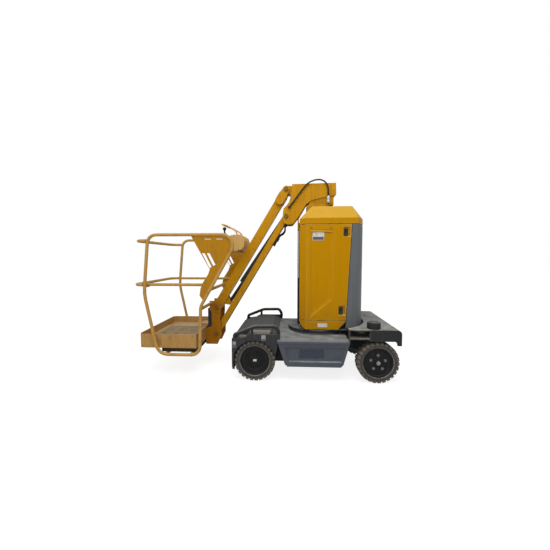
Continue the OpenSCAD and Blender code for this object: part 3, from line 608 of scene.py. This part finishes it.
# %% Setting pieces out
SIDES = (("near", -1), ("far", 1))
TURNS = {
    "up": Matrix(),
    "near": Matrix.Rotation(math.pi / 2, 4, "X"),
    "far": Matrix.Rotation(math.pi, 4, "Z") @ Matrix.Rotation(math.pi / 2, 4, "X"),
}
MERGE_WITHIN = 0.00001


def spot(x, y, z, looks="up", spin=0.0):
    """A place in millimetres from the tower's axis, with the piece's top turned to one side."""
    there = Matrix.Translation((x / 1000 + tower_x, y / 1000, z / 1000))
    return there @ TURNS[looks] @ Matrix.Rotation(math.radians(spin), 4, "Z")


def both(x, y, z):
    """The same place on the near and on the far side, looking outwards."""
    return [spot(x, sign * y, z, side) for side, sign in SIDES]


def ring(count, radius, start=0):
    """Steps in millimetres from a middle to places spread evenly on a ring."""
    turns = [math.radians(start + 360 * i / count) for i in range(count)]
    return [(radius * math.cos(turn), radius * math.sin(turn)) for turn in turns]


def set_out(piece, name, body, finishes, places):
    """Joins one copy at each place into a single piece that rides on the body."""
    bpy.ops.object.mode_set(mode="OBJECT")
    twins = []
    for where in places:
        only(piece)
        bpy.ops.object.duplicate()
        twin = bpy.context.object
        twin.matrix_world = where
        bpy.ops.object.transform_apply(location=True, rotation=True, scale=True)
        twins.append(twin)
    only(*twins)
    if len(twins) > 1:
        bpy.ops.object.join()
    whole = bpy.context.object
    whole.name = name
    whole.data.name = name
    bpy.ops.object.mode_set(mode="EDIT")
    bpy.ops.mesh.select_all(action="SELECT")
    bpy.ops.mesh.remove_doubles(threshold=MERGE_WITHIN)
    bpy.ops.mesh.normals_make_consistent(inside=False)
    bpy.ops.object.mode_set(mode="OBJECT")
    bpy.ops.object.shade_smooth_by_angle(angle=SMOOTH_ANGLE)
    for finish in finishes:
        whole.data.materials.append(finish)
    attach(whole, body)
    print(name, "on", body, len(whole.data.polygons), "faces")


def done(*patterns):
    """Removes the patterns once their copies are in place."""
    for pattern in patterns:
        bpy.data.objects.remove(pattern, do_unlink=True)


print("pieces can be set out")

# %% [markdown]
# ## Wheel nuts and hubs
# Each steered wheel is held by five flange nuts on studs. A six-sided cylinder is the nut, its lower face
# is widened into the flange, and its upper face is inset and pulled out as the end of the stud. These could
# be three pieces, but pulled from one another they stay one closed mesh. The drive wheels sit on hub
# motors, which show a ring of small socket screws instead.

# %% Nut, hub cap and screw
nut = disc("nut_pattern", 6, radius=0.0125, depth=0.012)
faces(nut, lambda middle, normal: normal.z < -STRAIGHT)
bpy.ops.transform.translate(value=(0, 0, 0.002))
push(0.0, 1.32)
push(-0.005)
top(nut)
inset(0.0045)
push(0.006, 0.92)
soften(nut, 0.0009)

cap = disc("cap_pattern", 32, radius=0.019, depth=0.008)
top(cap)
inset(0.004)
push(0.005, 0.8)
inset(0.004)
push(-0.002)
soften(cap, 0.0012)

screw = disc("screw_pattern", 18, radius=0.0075, depth=0.009)
top(screw)
inset(0.003)
push(-0.004)
soften(screw, 0.0007)
print("patterns", nut.name, cap.name, screw.name)

# %% Nuts, caps and screws on the wheels
steer_x, drive_x, axle_z = 557, -643, 203
nut_y, cap_y, screw_y = 459.5, 476, 454.5
nut_spin = 17
nut_ring = ring(5, radius=72, start=90)
screw_ring = ring(10, radius=70)
for side, sign in SIDES:
    set_out(nut, f"wheel_nuts_{side}", f"steer_wheel_{side}", [dull_zinc],
            [spot(steer_x + x, sign * nut_y, axle_z + z, side, nut_spin * i)
             for i, (x, z) in enumerate(nut_ring)])
    set_out(cap, f"hub_cap_{side}", f"steer_wheel_{side}", [hub_zinc],
            [spot(steer_x, sign * cap_y, axle_z, side)])
    set_out(screw, f"motor_screws_{side}", f"drive_wheel_{side}", [rim_black],
            [spot(drive_x + x, sign * screw_y, axle_z + z, side) for x, z in screw_ring])
done(nut, cap)

# %% [markdown]
# ## Latches
# The doors close with black paddle latches set in square pockets. The paddle is a block whose face is inset
# and pushed in for the fingers; rounding every edge last keeps the hollow crisp but not sharp. The pockets
# follow the door's slanted rear edge, so the latches do too.

# %% Door latches
latch = block("latch_pattern", 0.036, 0.067, 0.017)
top(latch)
inset(0.006)
push(-0.003)
bpy.ops.transform.resize(value=(0.9, 0.8, 1))
faces(latch, lambda middle, normal: normal.y < -STRAIGHT and middle.y < -0.03)
inset(0.004)
bpy.ops.mesh.extrude_region_move(TRANSFORM_OT_translate={"value": (0, -0.004, 0)})
soften(latch, 0.002, steps=3)

latch_y, latch_heights, latch_from_edge = 292.6, (1477, 679), 57
door_edge_x, door_edge_z, door_edge_slope = 278, 632, 44 / 870
latch_places = [(door_edge_x + (z - door_edge_z) * door_edge_slope - latch_from_edge, z) for z in latch_heights]
for side, sign in SIDES:
    set_out(latch, f"latches_{side}", f"door_{side}", [black_plastic],
            [spot(x, sign * latch_y, z, side) for x, z in latch_places])
done(latch)

# %% [markdown]
# ## Lips on the doors
# A moulded lip runs along the top of each door's sunken panel, with two dark screws above it. The lip is a
# bar whose outer top edge is pulled down, so that its top becomes a slope that catches the light. The
# screws are copies of the ones on the motors.

# %% Lips on the doors
lip = block("lip_pattern", 0.224, 0.026, 0.011)
sides(lip, lambda middle, way: abs(way.x) > STRAIGHT and middle.y > 0 and middle.z > 0)
bpy.ops.transform.translate(value=(0, -0.017, 0))
faces(lip, lambda middle, normal: abs(normal.x) > STRAIGHT)
bpy.ops.transform.resize(value=(0.98, 0.8, 1))
soften(lip, 0.002)

lip_x, lip_y, lip_z, lip_tilt = 20, 295, 1489, 1.3
lip_screw_y, lip_screws = 296.8, ((-82, 1519), (112, 1515))
for side, sign in SIDES:
    set_out(lip, f"door_lip_{side}", f"door_{side}", [yellow_cover],
            [spot(lip_x, sign * lip_y, lip_z, side, sign * lip_tilt)])
    set_out(screw, f"door_screws_{side}", f"door_{side}", [rim_black],
            [spot(x, sign * lip_screw_y, z, side) for x, z in lip_screws])
done(lip, screw)

# %% [markdown]
# ## Thin sheets
# Plates and panels are thin sheets with rounded corners. Subdividing a cube would round it all over, so
# only its four upright edges are beveled, which keeps the face flat, and the face is inset for a rim. Where
# a plate has a darker band, a cut across the field parts it from the rest, and the faces below the cut take
# the second finish.

# %% A thin sheet
SHEET_THICK, RIM_DEEP = 0.003, 0.0006
CORNER_SHARE, RIM_SHARE, FIELD_SHARE = 0.12, 0.06, 0.2


def sheet_of(name, width, height, band=0):
    """A sheet that lies flat. The band is the share of its height that gets the second finish."""
    sheet = block(name, width, height, SHEET_THICK)
    short = min(width, height)
    sides(sheet, lambda middle, way: abs(way.z) > STRAIGHT)
    bpy.ops.mesh.bevel(offset=short * CORNER_SHARE, segments=4, affect="EDGES")
    top(sheet)
    inset(short * RIM_SHARE)
    push(-RIM_DEEP)
    if band:
        cut = (band - 0.5) * height
        bpy.ops.mesh.bisect(plane_co=(0, cut, 0), plane_no=(0, 1, 0))
        bpy.ops.object.mode_set(mode="OBJECT")
        for face in sheet.data.polygons:
            low = face.center.y < cut and face.normal.z > STRAIGHT
            face.material_index = 1 if low and face.area > FIELD_SHARE * width * height * band else 0
    bpy.ops.object.mode_set(mode="OBJECT")
    return sheet


print("sheets are", SHEET_THICK * 1000, "mm thick")

# %% [markdown]
# ## Small plates
# A few small plates sit on the door, the skirt, the hood and the hub motors: a pale field, on some with a
# darker band below it. An image could give them their colours, but it would stay clean. With two of the
# paints, they age as the metal around them does.

# %% Small plates
plate_pale = worn_paint("plate_pale", "D8D6CE", "E4E2DA", "8E877A", "B9B4A8",
                        dusty=0.2, rough=0.4, streaks=0.35)
plate_band = worn_paint("plate_band", "55565A", "66676B", "8E877A", "B9B4A8", dusty=0.2, rough=0.4)
plate_grey = worn_paint("plate_grey", "9A9B9A", "A9AAA8", "6E6A62", "C4C2BC", dusty=0.3, rough=0.4)

motor_plate_y = 457.8
for name, body, field, width, height, band, where in (
        ("door_plate", "door_near", plate_pale, 0.118, 0.084, 0.42, spot(-12, -291, 1436, "near")),
        ("skirt_plate", "turret", plate_pale, 0.100, 0.042, 0, spot(36, -300.6, 526, "near")),
        ("hood_plate", "chassis", plate_grey, 0.042, 0.052, 0.3, spot(-553, -495.6, 441, "near")),
        ("nose_plate", "chassis", plate_grey, 0.034, 0.060, 0.5, spot(-840, -495.6, 370, "near")),
        ("motor_plate_near", "drive_wheel_near", plate_pale, 0.034, 0.022, 0,
         spot(drive_x, -motor_plate_y, axle_z, "near")),
        ("motor_plate_far", "drive_wheel_far", plate_pale, 0.034, 0.022, 0,
         spot(drive_x, motor_plate_y, axle_z, "far"))):
    sheet = sheet_of(name + "_pattern", width, height, band)
    set_out(sheet, name, body, [field, plate_band], [where])
    done(sheet)

# %% [markdown]
# ## Panels on the hood and the battery boxes
# The sloped shoulders of the hood carry dusty grey panels, with a short one ahead of each, and the battery
# boxes have a dark panel sunk in their sides. They are the same sheet as the plates, only larger, and the
# ones on the shoulders lean with them.

# %% Panels on the hood and the battery boxes
panel_grey = grained("panel_grey", "827E78", "8E8A83", settled="A09B93", dusty=0.6)
panel_blue = worn_paint("panel_blue", "3E434E", "494F5A", "35332F", "80848C", dusty=0.2, rough=0.5)
shoulder_lean = math.radians(10.7)

hood_places = [spot(-594, sign * 418, 476.6) @ Matrix.Rotation(-sign * shoulder_lean, 4, "X")
               for _, sign in SIDES]
nose_places = [spot(-763, sign * 438, 438.2) for _, sign in SIDES]
for name, finish, width, height, places in (
        ("hood_panels", panel_grey, 0.204, 0.092, hood_places),
        ("nose_panels", panel_grey, 0.070, 0.084, nose_places),
        ("box_panels", panel_blue, 0.238, 0.090, both(-86.5, 472.2, 281.5))):
    sheet = sheet_of(name + "_pattern", width, height)
    set_out(sheet, name, "chassis", [finish], places)
    done(sheet)

# %% [markdown]
# ## Pin ends
# The jib turns on four pins, and each end shows as a round head, painted over and rubbed bare again. A
# cylinder is inset twice, the outer ring staying back as a step and the middle sinking in as the centre
# mark. Only the heads show, so nothing is made behind them.

# %% Pin ends
pin = disc("pin_pattern", 32, radius=0.024, depth=0.006)
top(pin)
inset(0.004)
push(0.003)
inset(0.010)
push(-0.002, 0.8)
soften(pin, 0.001)

pin_metal = worn_paint("pin_metal", "7E5C1E", "8C6A2A", "46341A", "A39276", dusty=0.3, chips=0.5, rough=0.5)
mast_pin_x, basket_pin_x = -341, -1121
for name, body, x, y, z in (
        ("pins_head_top", "mast_4", mast_pin_x, 98.5, 1957),
        ("pins_head_low", "mast_4", mast_pin_x, 116.5, 1667),
        ("pins_basket_top", "basket", basket_pin_x, 116.5, 664),
        ("pins_basket_low", "basket", basket_pin_x, 116.5, 374)):
    set_out(pin, name, body, [pin_metal], both(x, y, z))
done(pin)

# %% [markdown]
# ## Uprights behind the basket
# A dark steel strip stands on each cheek of the basket's head, between the pan and the jib. Its outline
# could be drawn and extruded. A block whose upper end is cut back at a slant is quicker, and the cut is
# filled, so that it stays closed. A shallow panel is inset in its face.

# %% Uprights behind the basket
upright = block("upright_pattern", 0.042, 0.240, 0.011)
bpy.ops.mesh.bisect(plane_co=(0, 0.105, 0), plane_no=(-0.5, 1, 0), use_fill=True, clear_outer=True)
top(upright)
inset(0.006)
push(-0.002)
soften(upright, 0.0015)
set_out(upright, "head_uprights", "basket", [dark_steel], both(-1190, 100, 560))
done(upright)

# %% [markdown]
# ## Hose fitting
# The arched hose screws on to a plated fitting. A profile could be spun round for it. Here it is one
# cylinder pulled up in steps: a collar, a wider ring for the spanner, a waist and a crimped sleeve. Each
# step is the top face extruded and made wider or narrower, so that all its sizes stand in one list.

# %% Hose fitting
fitting = disc("fitting_pattern", 24, radius=0.0168, depth=0.012)
top(fitting)
for rise, grow in ((0.0, 1.12), (0.014, 1.0), (0.0, 0.86), (0.01, 1.0),
                   (0.0, 1.06), (0.034, 0.97), (0.0, 0.8), (0.006, 1.0)):
    push(rise, grow)
soften(fitting, 0.0006)
set_out(fitting, "hose_fitting", "mast_4", [zinc], [spot(105, -121, 1806)])
done(fitting)

# %% [markdown]
# ## Controls
# On the shelf of the console are a few buttons and the mushroom button that stops the machine. They are too
# small to need joints, but a console without them would look like a box. The mushroom is a short cylinder
# whose top is widened, then drawn in again to a low dome.

# %% Console controls
panel_dark = worn_paint("panel_dark", "303134", "3C3D40", "6B6257", "75726C", settled="B09A70",
                        dusty=0.5, rough=0.5)
panel = sheet_of("panel_pattern", 0.13, 0.33)
set_out(panel, "console_panel", "basket", [panel_dark], [spot(-975, 22, 1457.3)])

stop_red = rubber("stop_red", "8E1A14", "A8352C", rough=0.4)
stop = disc("stop_pattern", 32, radius=0.013, depth=0.014)
top(stop)
for rise, grow in ((0.0, 1.5), (0.008, 1.02), (0.005, 0.8), (0.002, 0.6)):
    push(rise, grow)
soften(stop, 0.001)
set_out(stop, "stop_button", "basket", [stop_red], [spot(-955, 130, 1466)])

button = disc("button_pattern", 24, radius=0.011, depth=0.008)
top(button)
inset(0.003)
push(0.004)
soften(button, 0.0008)
set_out(button, "console_buttons", "basket", [black_plastic],
        [spot(x, y, 1463) for x in (-1000, -955) for y in (-10, 30, 70)])
done(panel, stop, button)

# %% [markdown]
# ## Floor mat
# The basket floor carries a ribbed mat, pale with trodden dirt. One rib is modelled and an array repeats
# it, because drawing every rib by hand would never be even. The array is applied before the ribs are joined
# to their sheet.

# %% Floor mat
rib_count, rib_step = 52, 0.012
mat = block("floor_mat_pattern", 0.46, 0.005, 0.003)
top(mat)
push(0.002)
bpy.ops.transform.resize(value=(1, 0.5, 1))
bpy.ops.object.mode_set(mode="OBJECT")
only(mat)
bpy.ops.object.modifier_add(type="ARRAY")
rows = mat.modifiers[-1]
rows.count = rib_count
rows.use_relative_offset = False
rows.use_constant_offset = True
rows.constant_offset_displace = (0, rib_step, 0)
bpy.ops.object.modifier_apply(modifier=rows.name)

ground = block("mat_sheet", 0.48, 0.64, SHEET_THICK)
bpy.ops.transform.translate(value=(0, (rib_count - 1) * rib_step / 2, -SHEET_THICK / 2))
sides(ground, lambda middle, way: abs(way.z) > STRAIGHT)
bpy.ops.mesh.bevel(offset=0.04, segments=6, affect="EDGES")
bpy.ops.object.mode_set(mode="OBJECT")
only(mat, ground)
bpy.ops.object.join()

trodden_mat = worn_paint("trodden_mat", "9A886E", "B29E7C", "50463A", "B8A684", settled="BCA67E",
                         dusty=0.6, rough=0.75, streaks=0.8, grit=0.3)
set_out(mat, "floor_mat", "basket", [trodden_mat], [spot(-1530, -404, 372.7)])
done(mat)

# %% [markdown]
# ## Wear strips
# Pale plastic strips run down the sides of the mast's chain guide and keep it from rattling. Each is a long
# block with a raised middle, so that its edges catch the light as a sawn strip's do.

# %% Wear strips
strip = block("strip_pattern", 0.016, 0.52, 0.004)
top(strip)
inset(0.003)
push(0.001)
soften(strip, 0.0008)
strip_pale = grained("strip_pale", "BEBDB6", "CFCDC6", settled="8E8A80", dusty=0.3, rough=0.5)
set_out(strip, "wear_strips", "turret", [strip_pale], both(-204, 61.6, 1255))
done(strip)

# %% [markdown]
# ## Filler cap
# A black ribbed cap closes the tank on the rear tray. Ribs could be copied round it one by one. Here they
# are every other side face of a cylinder, pushed out together, so that they are even and part of the cap.
# Its top is stepped in twice.

# %% Filler cap
grip_corners, grip_depth = 72, 0.058
rib_degrees = 360 / grip_corners
grip = disc("grip_pattern", grip_corners, radius=0.062, depth=grip_depth)
faces(grip, lambda middle, normal: abs(normal.z) < 0.1 and int(
    math.degrees(math.atan2(middle.y, middle.x)) // rib_degrees) % 2 == 0)
bpy.ops.mesh.extrude_region_move()
bpy.ops.transform.resize(value=(1.035, 1.035, 0.94))
faces(grip, lambda middle, normal: normal.z > STRAIGHT and middle.z > grip_depth / 2 - 0.0005)
inset(0.010)
push(0.005, 0.96)
inset(0.012)
push(-0.003)
set_out(grip, "filler_grip", "chassis", [black_plastic], [spot(520, -420, 561.2)])
done(grip)

# %% [markdown]
# ## The camera
# The photograph was taken from a little below the console's height, with a wide lens, from the side where
# the drop bar is. The lens and the place were worked out from the wheels, whose size is a common one, and
# from the tower and the basket's frame.

# %% Camera
lens = bpy.data.cameras.new("camera")
lens.sensor_width = 36.0
lens.lens = 18.62
lens.clip_start = 0.05
camera = bpy.data.objects.new("camera", lens)
camera.location = (tower_x - 0.294, -3.207, 1.221)
camera.rotation_euler = (math.radians(86.47), 0.0, math.radians(3.09))
bpy.context.scene.collection.objects.link(camera)
bpy.context.scene.camera = camera
print("camera at", tuple(camera.location))

# %% [markdown]
# ## Floor and surround
# A pale floor and a white surround are enough. Both are white to the camera and in mirrors, and a softer
# grey to everything else, so the machine is lit at a plain level and its colours stay true. The floor keeps
# half of its own shading, and with it a faint shadow; the glow that is mixed in makes up what open floor
# lacks to white.

# %% Floor and surround
WHITE = (1, 1, 1, 1)
OWN_SHARE, OPEN_LIGHT = 0.5, 0.36
SOFT_LIGHT = 0.44


def seen_white(owner):
    """1 for what the camera or a mirror sees, and 0 for what lights the machine."""
    rays = [owner.add("ShaderNodeLightPath", out=f"Is {kind} Ray")
            for kind in ("Camera", "Glossy", "Transmission")]
    return owner.add("ShaderNodeClamp", None, {"Value": sum(rays)})


bpy.ops.object.select_all(action="DESELECT")
bpy.ops.mesh.primitive_plane_add(size=60, location=(0, 0, 0))
floor = bpy.context.object
floor.name = "floor"
pale = Finish("pale_floor")
pale.feed("Base Color", (0.82, 0.82, 0.82, 1))
pale.feed("Roughness", 0.9)
lit = Wire(pale, pale.shader.outputs[0])
glow = pale.add("ShaderNodeEmission", None, {
    "Color": WHITE, "Strength": (1 - OWN_SHARE * OPEN_LIGHT) / (1 - OWN_SHARE)})
mixed = pale.add("ShaderNodeMixShader", None, {0: seen_white(pale) * (1 - OWN_SHARE), 1: lit, 2: glow})
pale.fill(pale.tree.nodes["Material Output"].inputs["Surface"], mixed)
floor.data.materials.append(pale.material)

world = bpy.data.worlds.new("surround")
world.use_nodes = True
bpy.context.scene.world = world
surround = Shading(world.node_tree, "Background")
surround.feed("Color", WHITE)
surround.feed("Strength", surround.add("ShaderNodeMapRange", None, {
    "Value": seen_white(surround), "To Min": SOFT_LIGHT, "To Max": 1.0}))
print("floor and surround", floor.name, world.name)

# %% [markdown]
# ## Lamps
# A large lamp above the camera gives the tops their light, and a weak one from the basket's side opens the
# shadows. Large lamps give soft edges, as the hall in which such machines are photographed does.

# %% Lamps
for name, size, power, where, aim in (
        ("top_lamp", 3.0, 92.0, (0.1, -1.8, 4.2), (0, 0, 0.8)),
        ("side_lamp", 2.0, 16.0, (-3.2, -2.6, 2.2), (0, 0, 1.0))):
    lamp = bpy.data.lights.new(name, "AREA")
    lamp.size = size
    lamp.energy = power
    holder = bpy.data.objects.new(name, lamp)
    holder.location = where
    holder.rotation_euler = (Vector(aim) - Vector(where)).to_track_quat("-Z", "Y").to_euler()
    bpy.context.scene.collection.objects.link(holder)
bpy.context.scene.view_settings.view_transform = "Standard"
